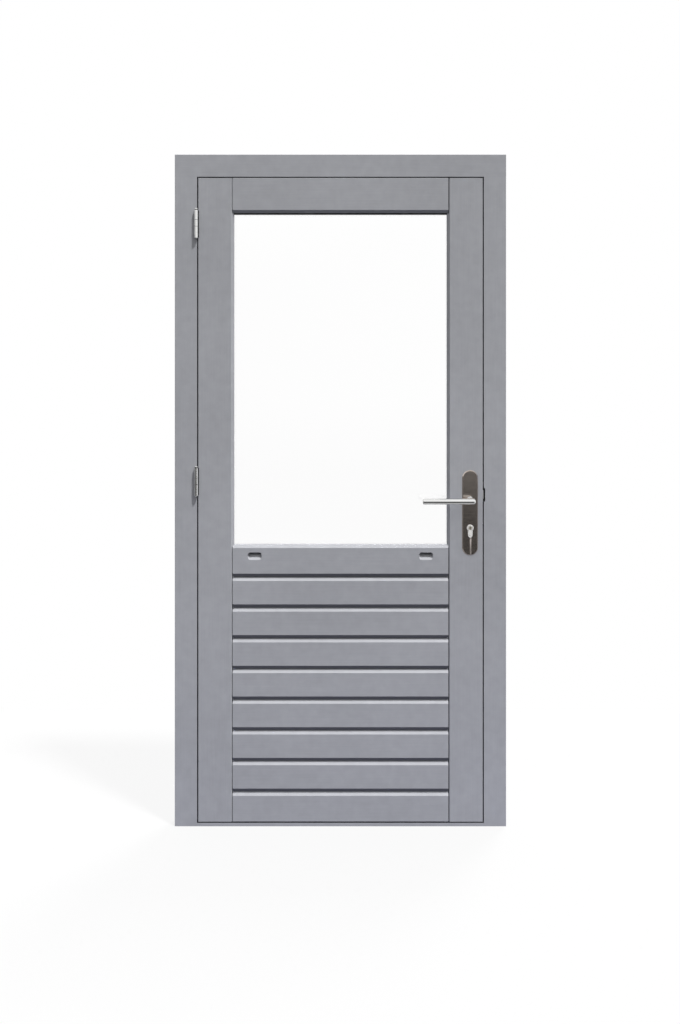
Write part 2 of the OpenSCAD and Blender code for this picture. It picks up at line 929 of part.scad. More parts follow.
// Board number i, counted from the top
module board(i) {
    bottom = mid_z - i * board_h;
    color(paint)
        cross_piece(bottom, bottom + board_h + edge_tongue_h)
            polygon(concat(grooved_edge(bottom), tongued_edge(bottom + board_h)));
}

module board_1() {
    board(1);
}

module board_2() {
    board(2);
}

module board_3() {
    board(3);
}

module board_4() {
    board(4);
}

module board_5() {
    board(5);
}

module board_6() {
    board(6);
}

module board_7() {
    board(7);
}

// Outline of the glass
module glass_outline() {
    translate([-glass_x, glass_bottom])
        square([2 * glass_x, glass_top - glass_bottom]);
}

// Outline of the glass without a rim of the given width
module glass_rim(width) {
    difference() {
        glass_outline();
        translate([-glass_x + width, glass_bottom + width])
            square([2 * (glass_x - width), glass_top - glass_bottom - 2 * width]);
    }
}

module glass_outer_pane() {
    color("#dfe6e4", 0.3)
        along_y(tape_y, tape_y + pane_t)
            glass_outline();
}

module glass_inner_pane() {
    color("#dfe6e4", 0.3)
        along_y(inner_pane_y, inner_pane_y + pane_t)
            glass_outline();
}

module glass_spacer() {
    color(rubber)
        along_y(tape_y + pane_t, inner_pane_y)
            glass_rim(spacer_w);
}

module glazing_tape() {
    color(rubber)
        along_y(rebate_y, tape_y)
            glass_rim(rebate_w - glass_play - tape_back);
}

module setting_blocks() {
    color(rubber)
        for (side = [-1, 1])
            box([side * block_x - block_l / 2, tape_y, rebate_bottom],
                [side * block_x + block_l / 2, bead_y, glass_bottom]);
}

// Section of a glazing bead, its foot on the rebate at 0
module bead_section(height) {
    polygon([
        [bead_y, 0], [leaf_back_y, 0], [leaf_back_y, height - bead_bevel],
        [leaf_back_y - bead_bevel, height], [bead_y, height]
    ]);
}

// A bead along the floor of the rebate, mitred to its neighbours' heights at both ends
module bead(half_length, height, left_h, right_h) {
    intersection() {
        along_x(-half_length, half_length)
            bead_section(height);
        along_y(bead_y - 1, leaf_back_y + 1)
            polygon([
                [-half_length, 0], [half_length, 0],
                [half_length - right_h, height], [-half_length + left_h, height]
            ]);
    }
}

// A bead along the side of the rebate on the lock side
module side_bead() {
    translate([rebate_side, 0, (rebate_bottom + rebate_top) / 2])
        rotate([0, -90, 0])
            bead((rebate_top - rebate_bottom) / 2, bead_h, bead_h, bead_top_h);
}

module bead_bottom() {
    color(paint)
        translate([0, 0, rebate_bottom])
            bead(rebate_side, bead_h, bead_h, bead_h);
}

module bead_top() {
    color(paint)
        translate([0, 0, rebate_top])
            mirror([0, 0, 1])
                bead(rebate_side, bead_top_h, bead_h, bead_h);
}

module bead_lock_side() {
    color(paint)
        side_bead();
}

module bead_hinge_side() {
    color(paint)
        mirror([1, 0, 0])
            side_bead();
}

// Profile of the key cylinder, grown by a clearance
module euro_profile(grow) {
    translate([lock_x, key_z])
        circle(euro_r + grow);
    translate([lock_x - euro_stem_w / 2 - grow, key_z - euro_drop + euro_stem_w / 2])
        square([euro_stem_w + 2 * grow, euro_drop - euro_stem_w / 2]);
    translate([lock_x, key_z - euro_drop + euro_stem_w / 2])
        circle(euro_stem_w / 2 + grow);
}

// Tray of the lock case, open towards the faceplate and the cover
module lock_case() {
    color(steel)
        difference() {
            box([case_left, -case_t / 2, case_bottom], [case_right, case_t / 2 - case_wall, case_top]);
            box([case_left + case_wall, -inner_t / 2, case_bottom + case_wall],
                [case_right + 1, case_t / 2 + 1, case_top - case_wall]);
            rod_y(lock_x, lever_z, hub_r + hub_play, -case_t, 0);
            along_y(-case_t, 0)
                euro_profile(0.3);
        }
}

module lock_case_cover() {
    color(steel)
        difference() {
            box([case_left, case_t / 2 - case_wall, case_bottom], [case_right, case_t / 2, case_top]);
            rod_y(lock_x, lever_z, hub_r + hub_play, 0, case_t);
            along_y(0, case_t)
                euro_profile(0.3);
        }
}

module lock_faceplate() {
    color(steel)
        difference() {
            box([case_right, -faceplate_w / 2, faceplate_bottom], [leaf_x, faceplate_w / 2, faceplate_top]);
            box([case_right - 1, -latch_t / 2 - bolt_play, latch_z - latch_h / 2 - bolt_play],
                [leaf_x + 1, latch_t / 2 + bolt_play, latch_z + latch_h / 2 + bolt_play]);
            box([case_right - 1, -bolt_t / 2 - bolt_play, bolt_z - bolt_h / 2 - bolt_play],
                [leaf_x + 1, bolt_t / 2 + bolt_play, bolt_z + bolt_h / 2 + bolt_play]);
            faceplate_screw_set(screw_play);
            fix_screw(screw_play);
        }
}

module faceplate_screw_set(play) {
    for (z = [faceplate_bottom + faceplate_screw_in, faceplate_top - faceplate_screw_in])
        side_screw(leaf_x, 0, z, -1, hinge_screw_l, play);
}

module faceplate_screws() {
    color(steel)
        faceplate_screw_set(0);
}

// Bevelled latch with a tail whose lug lies behind the follower's finger
module latch_bolt() {
    tip = leaf_x + latch_out;
    color(steel) {
        along_z(latch_z - latch_h / 2, latch_z + latch_h / 2)
            polygon([
                [latch_back, -latch_t / 2], [tip, -latch_t / 2], [tip, -latch_t / 4],
                [leaf_x, latch_t / 2], [latch_back, latch_t / 2]
            ]);
        box([lug_right - lug_w, -finger_t / 2, tail_z], [latch_back + eps, finger_t / 2, tail_z + tail_h]);
        box([lug_right - lug_w, -finger_t / 2, lug_z], [lug_right, finger_t / 2, tail_z + eps]);
    }
}

// Point j of the wire at turn t of the latch spring
function spring_point(t, j, length) =
    let (a = 360 * t, b = 60 * j, r = spring_r + spring_wire / 2 * cos(b))
    [spring_wire / 2 + (length - spring_wire) * t / spring_turns + spring_wire / 2 * sin(b),
        r * cos(a), r * sin(a)];

// Coil spring between the back of the case and the latch's lug
module latch_spring() {
    start = case_left + case_wall + spring_seat;
    length = lug_right - lug_w - spring_seat - start;
    steps = 14 * spring_turns;
    points = [for (i = [0 : steps], j = [0 : 5]) spring_point(i / 14, j, length)];
    sides = [for (i = [0 : steps - 1], j = [0 : 5])
        [6 * i + j, 6 * i + (j + 1) % 6, 6 * i + 6 + (j + 1) % 6, 6 * i + 6 + j]];
    ends = [[5, 4, 3, 2, 1, 0], [for (j = [0 : 5]) 6 * steps + j]];
    color(steel)
        translate([start, 0, tail_z + tail_h / 2])
            polyhedron(points, concat(sides, ends));
}

// Follower: a hub on the spindle and a finger that pulls the latch back
module follower() {
    color(steel)
        difference() {
            union() {
                rod_y(lock_x, lever_z, hub_r, -case_t / 2, case_t / 2);
                translate([lock_x, 0, lever_z])
                    rotate([0, lever_turn / 2, 0]) {
                        box([-finger_shank_w / 2, -finger_t / 2, 0],
                            [finger_shank_w / 2, finger_t / 2, finger_r]);
                        rod_y(0, finger_r, finger_w / 2, -finger_t / 2, finger_t / 2);
                    }
            }
            spindle_square(spindle_play, case_t / 2 + 1);
        }
}

// Square of the spindle, grown by a clearance
module spindle_square(play, half_length) {
    side = spindle_s / 2 + play;
    box([lock_x - side, -half_length, lever_z - side], [lock_x + side, half_length, lever_z + side]);
}

// Deadbolt, drawn back, with two lugs on either side of the cam
module deadbolt() {
    left = bolt_slot_x - bolt_slot_half - bolt_lug_w;
    color(steel) {
        box([left, -bolt_t / 2, bolt_z - bolt_h / 2], [bolt_tip, bolt_t / 2, bolt_z + bolt_h / 2]);
        for (x = [left, bolt_slot_x + bolt_slot_half])
            box([x, -bolt_t / 2, bolt_lug_z], [x + bolt_lug_w, bolt_t / 2, bolt_z - bolt_h / 2 + eps]);
    }
}

module cylinder_body() {
    color("#c9c7c1")
        difference() {
            along_y(-cylinder_y, cylinder_y)
                euro_profile(0);
            rod_y(lock_x, key_z, plug_r + plug_play, -cylinder_y - 1, cylinder_y + 1);
            rod_y(lock_x, key_z, cam_reach + cam_clear, -cam_slot_t / 2, cam_slot_t / 2);
            rod_x(0, fix_screw_z, fix_screw_r + plug_play, lock_x - 2, lock_x + euro_stem_w);
        }
}

// Long screw through the faceplate into the key cylinder
module fix_screw(play) {
    translate([leaf_x, 0, fix_screw_z])
        rotate([0, 90, 0])
            screw_shape(screw_head_r, screw_head_h, fix_screw_r, backset, play);
}

module cylinder_screw() {
    color(steel)
        fix_screw(0);
}

// Plug on the outside, with its key slot
module plug() {
    color("#b3a878")
        difference() {
            rod_y(lock_x, key_z, plug_r, -cylinder_y, -cam_t / 2);
            box([lock_x - key_slot_w / 2, -cylinder_y - 1, key_z - key_slot_h / 2],
                [lock_x + key_slot_w / 2, -cam_slot_t, key_z + key_slot_h / 2]);
        }
}

module plug_outside() {
    plug();
}

module plug_inside() {
    mirror([0, 1, 0])
        plug();
}

// Cam between the plugs, its tongue down at rest
module cam() {
    color(steel) {
        rod_y(lock_x, key_z, cam_r, -cam_t / 2, cam_t / 2);
        intersection() {
            box([lock_x - cam_w / 2, -cam_t / 2, key_z - cam_reach],
                [lock_x + cam_w / 2, cam_t / 2, key_z]);
            rod_y(lock_x, key_z, cam_reach, -cam_t / 2, cam_t / 2);
        }
    }
}

// Rounded outline of a long plate
module plate_outline() {
    for (end = [-1, 1])
        translate([lock_x, plate_z + end * plate_straight / 2])
            circle(plate_w / 2);
    translate([lock_x - plate_w / 2, plate_z - plate_straight / 2])
        square([plate_w, plate_straight]);
}

// Chamfered upper end of a long plate, above the straight part
module plate_end() {
    z = plate_z + plate_straight / 2;
    intersection() {
        translate([lock_x, plate_y + plate_ease, z])
            rotate([90, 0, 0])
                cylinder(r1 = plate_w / 2, r2 = plate_w / 2 - plate_ease, h = plate_ease);
        box([lock_x - plate_w, plate_y - 1, z], [lock_x + plate_w, front_y + 1, z + plate_w]);
    }
}

// Front of a long plate, with its chamfer all round
module plate_front() {
    edge = plate_w / 2;
    along_z(plate_z - plate_straight / 2, plate_z + plate_straight / 2)
        polygon([
            [lock_x - edge, plate_y + plate_ease], [lock_x - edge + plate_ease, plate_y],
            [lock_x + edge - plate_ease, plate_y], [lock_x + edge, plate_y + plate_ease]
        ]);
    plate_end();
    translate([0, 0, 2 * plate_z])
        mirror([0, 0, 1])
            plate_end();
}

// Heights of the two bolts that clamp the plates to the leaf
plate_bolt_levels = [plate_z - plate_h / 2 + plate_bolt_in, plate_z + plate_h / 2 - plate_bolt_in];

// Long plate on the outside, without bolt holes
module plain_plate() {
    difference() {
        union() {
            along_y(plate_y + plate_ease, front_y)
                plate_outline();
            plate_front();
        }
        rod_y(lock_x, lever_z, neck_r + turn_gap, plate_y - 1, front_y + 1);
        along_y(plate_y - 1, front_y + 1)
            euro_profile(0.2);
    }
}

// Outer plate with the threaded sleeves on its back
module plate_outside() {
    color(dark_steel)
        difference() {
            union() {
                plain_plate();
                for (z = plate_bolt_levels)
                    rod_y(lock_x, z, sleeve_r, front_y - eps, front_y + sleeve_l);
            }
            for (z = plate_bolt_levels)
                rod_y(lock_x, z, plate_bolt_r + plug_play, front_y, front_y + sleeve_l + 1);
        }
}

module plate_inside() {
    color(dark_steel)
        difference() {
            mirror([0, 1, 0])
                plain_plate();
            plate_bolt_set(screw_play);
        }
}

// Countersunk bolts from the inner plate into the sleeves of the outer one
module plate_bolt_set(play) {
    for (z = plate_bolt_levels)
        translate([lock_x, -plate_y, z])
            rotate([-90, 0, 0])
                screw_shape(screw_head_r, screw_head_h, plate_bolt_r, leaf_t, play);
}

module plate_bolts() {
    color(steel)
        plate_bolt_set(0);
}

// Lever on the outside: collar, neck and a straight round bar
module lever() {
    long_x = lock_x - bar_long;
    short_x = lock_x + bar_short;
    color(steel)
        difference() {
            union() {
                rod_y(lock_x, lever_z, neck_r, bar_y, front_y - turn_gap);
                rod_y(lock_x, lever_z, collar_r, plate_y - turn_gap - collar_h, plate_y - turn_gap);
                rod_x(bar_y, lever_z, bar_r, long_x + bar_ease, short_x - short_ease);
                translate([long_x, bar_y, lever_z])
                    rotate([0, 90, 0])
                        cylinder(r1 = bar_r - bar_ease, r2 = bar_r, h = bar_ease);
                translate([short_x - short_ease, bar_y, lever_z])
                    rotate([0, 90, 0])
                        cylinder(r1 = bar_r, r2 = bar_r - short_ease, h = short_ease);
            }
            spindle_square(spindle_play, spindle_half + 1);
            set_screw(plug_play);
        }
}

// Grub screw in the underside of the neck, on the outside
module set_screw(play) {
    translate([lock_x, set_screw_y, lever_z - neck_r - play])
        cylinder(r = set_screw_r + play, h = neck_r - spindle_s / 2);
}

module lever_outside() {
    lever();
}

// Turning knob, drawn on the outside: collar, neck and a drum with a coned back
module knob() {
    color(steel)
        difference() {
            union() {
                rod_y(lock_x, lever_z, neck_r, knob_y + knob_t / 2, front_y - turn_gap);
                rod_y(lock_x, lever_z, collar_r, plate_y - turn_gap - collar_h, plate_y - turn_gap);
                translate([lock_x, knob_y, lever_z])
                    rotate([-90, 0, 0])
                        rotate_extrude()
                            polygon([
                                [0, 0], [knob_r - knob_ease, 0], [knob_r, knob_ease], [knob_r, knob_t - knob_cone],
                                [neck_r + knob_step, knob_t], [0, knob_t]
                            ]);
            }
            spindle_square(spindle_play, spindle_half + 1);
            set_screw(plug_play);
        }
}

module knob_inside() {
    mirror([0, 1, 0])
        knob();
}

module spindle() {
    color(steel)
        spindle_square(0, spindle_half);
}

module handle_set_screws() {
    color(steel)
        for (side = [0, 1])
            mirror([0, side, 0])
                set_screw(0);
}

frame_head();
frame_jamb_hinge();
frame_jamb_lock();
frame_threshold();
seal_hinge_side();
seal_lock_side();
seal_head();
hinge_top_frame_flap();
hinge_top_leaf_flap();
hinge_top_pin();
hinge_mid_frame_flap();
hinge_mid_leaf_flap();
hinge_mid_pin();
hinge_washers();
hinge_screws_frame();
hinge_screws_leaf();
strike_plate();
strike_screws();
stile_hinge();
stile_lock();
rail_top();
rail_mid();
rail_bottom();
board_1();
board_2();
board_3();
board_4();
board_5();
board_6();
board_7();
glass_outer_pane();
glass_inner_pane();
glass_spacer();
glazing_tape();
setting_blocks();
bead_top();
bead_bottom();
bead_hinge_side();
bead_lock_side();
lock_case();
lock_case_cover();
lock_faceplate();
faceplate_screws();
latch_bolt();
latch_spring();
follower();
deadbolt();
cylinder_body();
cylinder_screw();
plug_outside();
plug_inside();
cam();
plate_outside();
plate_inside();
plate_bolts();
lever_outside();
knob_inside();
spindle();
handle_set_screws();
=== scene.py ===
import math

import bpy
from mathutils import Matrix, Vector


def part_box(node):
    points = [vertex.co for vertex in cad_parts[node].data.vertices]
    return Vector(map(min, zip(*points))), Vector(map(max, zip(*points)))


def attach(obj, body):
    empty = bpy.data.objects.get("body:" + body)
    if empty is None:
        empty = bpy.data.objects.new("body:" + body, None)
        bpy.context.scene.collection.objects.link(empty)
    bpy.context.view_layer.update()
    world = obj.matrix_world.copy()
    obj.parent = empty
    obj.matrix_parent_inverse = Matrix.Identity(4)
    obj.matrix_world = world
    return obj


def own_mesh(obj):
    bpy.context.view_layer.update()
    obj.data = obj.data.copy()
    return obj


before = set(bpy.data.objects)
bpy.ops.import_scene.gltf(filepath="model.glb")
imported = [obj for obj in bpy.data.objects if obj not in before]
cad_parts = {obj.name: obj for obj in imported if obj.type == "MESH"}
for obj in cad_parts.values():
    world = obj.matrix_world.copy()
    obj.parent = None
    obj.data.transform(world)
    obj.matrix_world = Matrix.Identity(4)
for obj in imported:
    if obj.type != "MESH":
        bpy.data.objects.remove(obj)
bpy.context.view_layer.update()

bl_info = {
    "name": "Hardwood door with frame",
    "version": (1, 0, 0),
    "blender": (4, 5, 0),
    "location": "View3D > Sidebar > Door",
    "description": "Paint, metal, glass, a key collar and the stage of a grey hardwood door in its frame",
    "category": "Object",
}

UPRIGHT_FRAME = ("frame_jamb_hinge", "frame_jamb_lock")
LEVEL_FRAME = ("frame_head", "frame_threshold")
UPRIGHT_LEAF = ("stile_hinge", "stile_lock", "bead_hinge_side", "bead_lock_side")
OVER_GLASS = ("rail_top", "bead_top")
BOARDS = ("rail_mid", "rail_bottom") + tuple("board_%d" % number for number in range(1, 8))
PANES = ("glass_outer_pane", "glass_inner_pane")
RUBBER = ("glass_spacer", "glazing_tape", "setting_blocks", "seal_hinge_side", "seal_lock_side", "seal_head")
FLAPS = (
    "hinge_top_frame_flap", "hinge_top_leaf_flap", "hinge_mid_frame_flap", "hinge_mid_leaf_flap",
    "hinge_screws_frame", "hinge_screws_leaf",
)
PINS = ("hinge_top_pin", "hinge_mid_pin")
LOCK_STEEL = (
    "strike_plate", "strike_screws", "lock_faceplate", "faceplate_screws",
    "latch_bolt", "deadbolt", "cylinder_screw",
)
LOCK_ZINC = ("lock_case", "lock_case_cover", "latch_spring", "follower", "cam", "spindle")
PLATES = ("plate_outside", "plate_inside")
LEVERS = ("lever_outside", "knob_inside", "handle_set_screws")
PLUGS = ("plug_outside", "plug_inside")
# The soft light round the handle leaves no shadow of these on the stile
SHADOWLESS = ("lever_outside", "spindle", "handle_set_screws", "plate_outside")

# Where shade is painted into the gap round the leaf, in metres outwards from the leaf's edge
GAP_MIDDLE = 0.0015
ARRIS_END = 0.0037
REBATE_END = 0.0045
KEEP_END = 0.0105
# The same, in metres behind the leaf's front
ARRIS_DEPTH = 0.001
REBATE_FRONT = 0.0008
REBATE_BACK = 0.029

# Joints and grooves of the leaf, in metres
STILE_W = 0.113
JOINT_OUT = 0.001
JOINT_IN = 0.0018
MID_RAIL_REACH = 0.09
TOP_RAIL_REACH = 0.2
GROOVE_NEAR = 0.011
GROOVE_FAR = 0.013
BOARD_TOP_MARGIN = 0.02
# Height of the painted shade line along the glass's sight edge
SIGHT_EDGE_SHADE_LINE = 0.002
# Least downward part of a normal: on a bevel, and on a level underside
BEVEL_DOWN = 0.3
LEVEL_DOWN = 0.95
# Tone of the painted shade there, as a share of the paint's grey
GAP_AND_JOINT_SHADE = 0.05
PAINTED_SHADE_OVER_GLASS = 0.01
SHADED_GROOVE = 0.5

# The painted reflection streak below the key, in metres
STREAK_OFFSET = 0.010
STREAK_CORE = 0.0008
STREAK_EDGE = 0.004
STREAK_FOOT = 0.045
STREAK_HEAD = 0.008
# How much of the plate it covers at its foot and at its head
STREAK_THIN = 0.32
STREAK_THICK = 0.85

# Sizes of the patterns in the finishes, in metres
DRIFT_W = 0.5
PEEL_W = 0.003
CRYSTAL_W = 0.006
DUST_W = 0.08
BLOOM_W = 0.02
TOOTH_W = 0.0008
# Grain 45 times as long as wide, in upright and in level pieces
GRAIN_UP = (1, 1, 45)
GRAIN_ACROSS = (45, 1, 1)
# How far the paint's grey, and the roughness of paint and metal, vary to either side
TONE_SWING = 0.08
DULL_SWING = 0.05

# Colours laid over the metal (painted shade, dark pins, a painted reflection) and of the stage
FLAP_SHADE_AND_DARK_PINS = "#2c2b29"
PAINTED_REFLECTION_STREAK = "#d8cdc6"
FLOOR_PAINT = "#939393"
FLOOR_BOUNCE = "#474b64"
WHITE = "#ffffff"

# The collar, in metres; an outline is its head's radius, half its stem's width and its reach downwards
COLLAR_OUTLINE = (0.011, 0.0075, 0.032)
HOLE_OUTLINE = (0.0092, 0.0057, 0.0256)
COLLAR_H = 0.0024
COLLAR_SOFT = 0.0006
CYLINDER_HEAD_R = 0.0085

# The stage: where the lamps shine from, their spread in degrees, lengths in metres
SUN_FROM = (0.32, -0.30, 0.90)
SUN_SPREAD = 6
FILL_FROM = (0.35, 0.62, 0.70)
FILL_SPREAD = 20
FLOOR_W = 5.0
FLOOR_D = 2.2
FLOOR_DROP = 0.0005
# Share of plain white in the floor, full at its front edge and least from the end of the fade on
FLOOR_PLAIN = 0.85
FADE_END = -0.4
# Brightness in reflections of the floor and of the ground in front of it
FLOOR_MIRRORED = 0.4
GROUND_MIRRORED = 0.065
CAMERA_X = -0.0015
CAMERA_SHIFT = -0.1087


def linear(code):
    """An sRGB hex colour as linear red, green and blue."""
    parts = [int(code[place:place + 2], 16) / 255 for place in (1, 3, 5)]
    return tuple(part / 12.92 if part <= 0.04045 else ((part + 0.055) / 1.055) ** 2.4 for part in parts)


def shaded(colour, factor):
    """A linear colour made lighter or darker, with full alpha."""
    return tuple(part * factor for part in colour) + (1.0,)


def add_node(tree, kind, inputs=None, **settings):
    """One node with its settings; inputs gives each socket a value or the socket that feeds it."""
    item = tree.nodes.new(kind)
    for key, value in settings.items():
        setattr(item, key, value)
    for key, value in (inputs or {}).items():
        if isinstance(value, bpy.types.NodeSocket):
            tree.links.new(value, item.inputs[key])
        else:
            item.inputs[key].default_value = value
    return item


def empty_material(name):
    """A new material with no nodes, and its node tree."""
    material = bpy.data.materials.new(name)
    material.use_nodes = True
    material.node_tree.nodes.clear()
    return material, material.node_tree


def coat(nodes, material):
    """Gives CAD nodes one finish."""
    for name in nodes:
        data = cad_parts[name].data
        data.materials.clear()
        data.materials.append(material)


class DoorPaintSettings(bpy.types.PropertyGroup):
    grey: bpy.props.FloatVectorProperty(
        name="Grey", description="Colour of the paint on frame and leaf",
        subtype="COLOR", size=3, min=0, max=1, default=linear("#929397"))
    mottle: bpy.props.FloatProperty(
        name="Mottle", description="Size of the faint clouds in the paint", unit="LENGTH", default=0.03)
    grain: bpy.props.FloatProperty(
        name="Grain", description="Spacing of the wood grain under the paint", unit="LENGTH", default=0.004)
    roughness: bpy.props.FloatProperty(
        name="Roughness", description="Roughness of the paint film",
        subtype="FACTOR", min=0, max=1, default=0.7)


class DoorMetalSettings(bpy.types.PropertyGroup):
    steel: bpy.props.FloatVectorProperty(
        name="Stainless", description="Colour of levers and hinges",
        subtype="COLOR", size=3, min=0, max=1, default=linear("#ececeb"))
    plate: bpy.props.FloatVectorProperty(
        name="Plates", description="Colour of the long plates",
        subtype="COLOR", size=3, min=0, max=1, default=linear("#bfb5ad"))
    nickel: bpy.props.FloatVectorProperty(
        name="Nickel", description="Colour of the key cylinder and its collar",
        subtype="COLOR", size=3, min=0, max=1, default=linear("#faf9f6"))
    plug: bpy.props.FloatVectorProperty(
        name="Plugs", description="Colour of the turning plugs",
        subtype="COLOR", size=3, min=0, max=1, default=linear("#d6d2c8"))
    zinc: bpy.props.FloatVectorProperty(
        name="Zinc", description="Colour of the lock's inner parts",
        subtype="COLOR", size=3, min=0, max=1, default=linear("#b4b7ba"))
    brushing: bpy.props.FloatProperty(
        name="Brushing", description="Spacing of the brush marks", unit="LENGTH", default=0.0012)


class DoorGlazingSettings(bpy.types.PropertyGroup):
    glass: bpy.props.FloatVectorProperty(
        name="Glass", description="Tint of the panes",
        subtype="COLOR", size=3, min=0, max=1, default=linear(WHITE))
    rubber: bpy.props.FloatVectorProperty(
        name="Rubber", description="Colour of seals, tape and blocks",
        subtype="COLOR", size=3, min=0, max=1, default=linear("#19191b"))


class DoorStageSettings(bpy.types.PropertyGroup):
    sun: bpy.props.FloatProperty(
        name="Key light", description="Strength of the light from the upper right", default=5.5)
    fill: bpy.props.FloatProperty(
        name="Back light", description="Strength of the light on the inner side", default=3.4)
    ambient: bpy.props.FloatProperty(
        name="Horizon", description="Strength of the light from all round", default=0.03)
    sides: bpy.props.FloatProperty(
        name="Sides", description="Strength of the light from the left and the right", default=0.45)
    sky: bpy.props.FloatProperty(
        name="Sky", description="Strength of the light from above", default=1.4)
    distance: bpy.props.FloatProperty(
        name="Distance", description="Camera's distance in front of the leaf", unit="LENGTH", default=3.02)
    height: bpy.props.FloatProperty(
        name="Height", description="Camera's height above the floor", unit="LENGTH", default=1.40)
    lens: bpy.props.FloatProperty(
        name="Lens", description="Focal length in millimetres", default=32.06)


def within(tree, value, low, high):
    """A socket that is 1 where a value lies between two bounds, 0 elsewhere."""
    return add_node(tree, "ShaderNodeMath", {
        0: value, 1: (low + high) / 2, 2: (high - low) / 2}, operation="COMPARE").outputs[0]


def joined(tree, way, first, *others):
    """Masks put together: MULTIPLY keeps what all of them share, MAXIMUM what any of them has."""
    for other in others:
        first = add_node(tree, "ShaderNodeMath", {0: first, 1: other}, operation=way).outputs[0]
    return first


def split(tree, place):
    """Distance from mid width, depth and height of a place, as three sockets."""
    parts = add_node(tree, "ShaderNodeSeparateXYZ", {0: place})
    side = add_node(tree, "ShaderNodeMath", {0: parts.outputs["X"]}, operation="ABSOLUTE")
    return side.outputs[0], parts.outputs["Y"], parts.outputs["Z"]


def facing_down(tree, least):
    """A mask of the faces whose normal points down by a least part."""
    normal = add_node(tree, "ShaderNodeNewGeometry").outputs["True Normal"]
    way = add_node(tree, "ShaderNodeSeparateXYZ", {0: normal})
    return within(tree, way.outputs["Z"], -1.1, -least)


def in_rebate(tree, place):
    """A mask of painted shade on the frame's faces and arrises behind the leaf's edge, and in the latch's
    keep.
    """
    low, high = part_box("stile_lock")
    side, depth, level = split(tree, place)
    across = within(tree, side, 0, high.x + ARRIS_END)
    ends = joined(
        tree, "MAXIMUM", within(tree, level, high.z + GAP_MIDDLE, high.z + REBATE_END),
        within(tree, level, low.z - REBATE_END, low.z - GAP_MIDDLE))
    deep = joined(
        tree, "MAXIMUM", within(tree, side, high.x + GAP_MIDDLE, high.x + KEEP_END),
        joined(tree, "MULTIPLY", across, ends))
    rim = joined(
        tree, "MAXIMUM", within(tree, side, high.x + GAP_MIDDLE, high.x + ARRIS_END),
        within(tree, level, high.z + GAP_MIDDLE, high.z + ARRIS_END),
        within(tree, level, low.z - ARRIS_END, low.z - GAP_MIDDLE))
    shallow = joined(tree, "MULTIPLY", across, rim)
    both = joined(
        tree, "MAXIMUM",
        joined(tree, "MULTIPLY", deep, within(tree, depth, low.y + REBATE_FRONT, low.y + REBATE_BACK)),
        joined(tree, "MULTIPLY", shallow, within(tree, depth, low.y - ARRIS_DEPTH, low.y + ARRIS_DEPTH)))
    return joined(tree, "MULTIPLY", both, within(tree, level, low.z - REBATE_END, high.z + ARRIS_END))


def in_vee_joint(tree, place):
    """A mask of painted shade on the inmost part of a stile's bevel, where rails and boards end against it.

    Beside the top rail only the joint on the lock side gets this painted shade.
    """
    side, level = split(tree, place)[::2]
    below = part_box("board_1")[1].z + MID_RAIL_REACH
    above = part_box("rail_top")[0].z
    end_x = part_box("stile_lock")[1].x - STILE_W
    lock_side = within(tree, add_node(tree, "ShaderNodeSeparateXYZ", {0: place}).outputs["X"], 0, 1)
    beside_top = joined(tree, "MULTIPLY", within(tree, level, above, above + TOP_RAIL_REACH), lock_side)
    beside = joined(tree, "MAXIMUM", within(tree, level, 0, below), beside_top)
    return joined(tree, "MULTIPLY", beside, within(tree, side, end_x - JOINT_OUT, end_x + JOINT_IN))


def in_board_groove(tree, place):
    """A mask of painted shade on the lower bevels between the boards and at the bottom of their grooves."""
    depth, level = split(tree, place)[1:]
    near = add_node(tree, "ShaderNodeMath", {0: depth}, operation="ABSOLUTE").outputs[0]
    below = within(tree, level, 0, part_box("board_1")[1].z + BOARD_TOP_MARGIN)
    groove = joined(
        tree, "MAXIMUM", facing_down(tree, BEVEL_DOWN), within(tree, near, GROOVE_NEAR, GROOVE_FAR))
    return joined(tree, "MULTIPLY", below, groove)


def over_glass(tree, place):
    """A mask of near-black painted shade over the glass: the level undersides and a line along the sight
    edge.
    """
    level = split(tree, place)[2]
    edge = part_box("rail_top")[0].z
    line = within(tree, level, edge - SIGHT_EDGE_SHADE_LINE / 2, edge + SIGHT_EDGE_SHADE_LINE)
    return joined(tree, "MAXIMUM", facing_down(tree, LEVEL_DOWN), line)


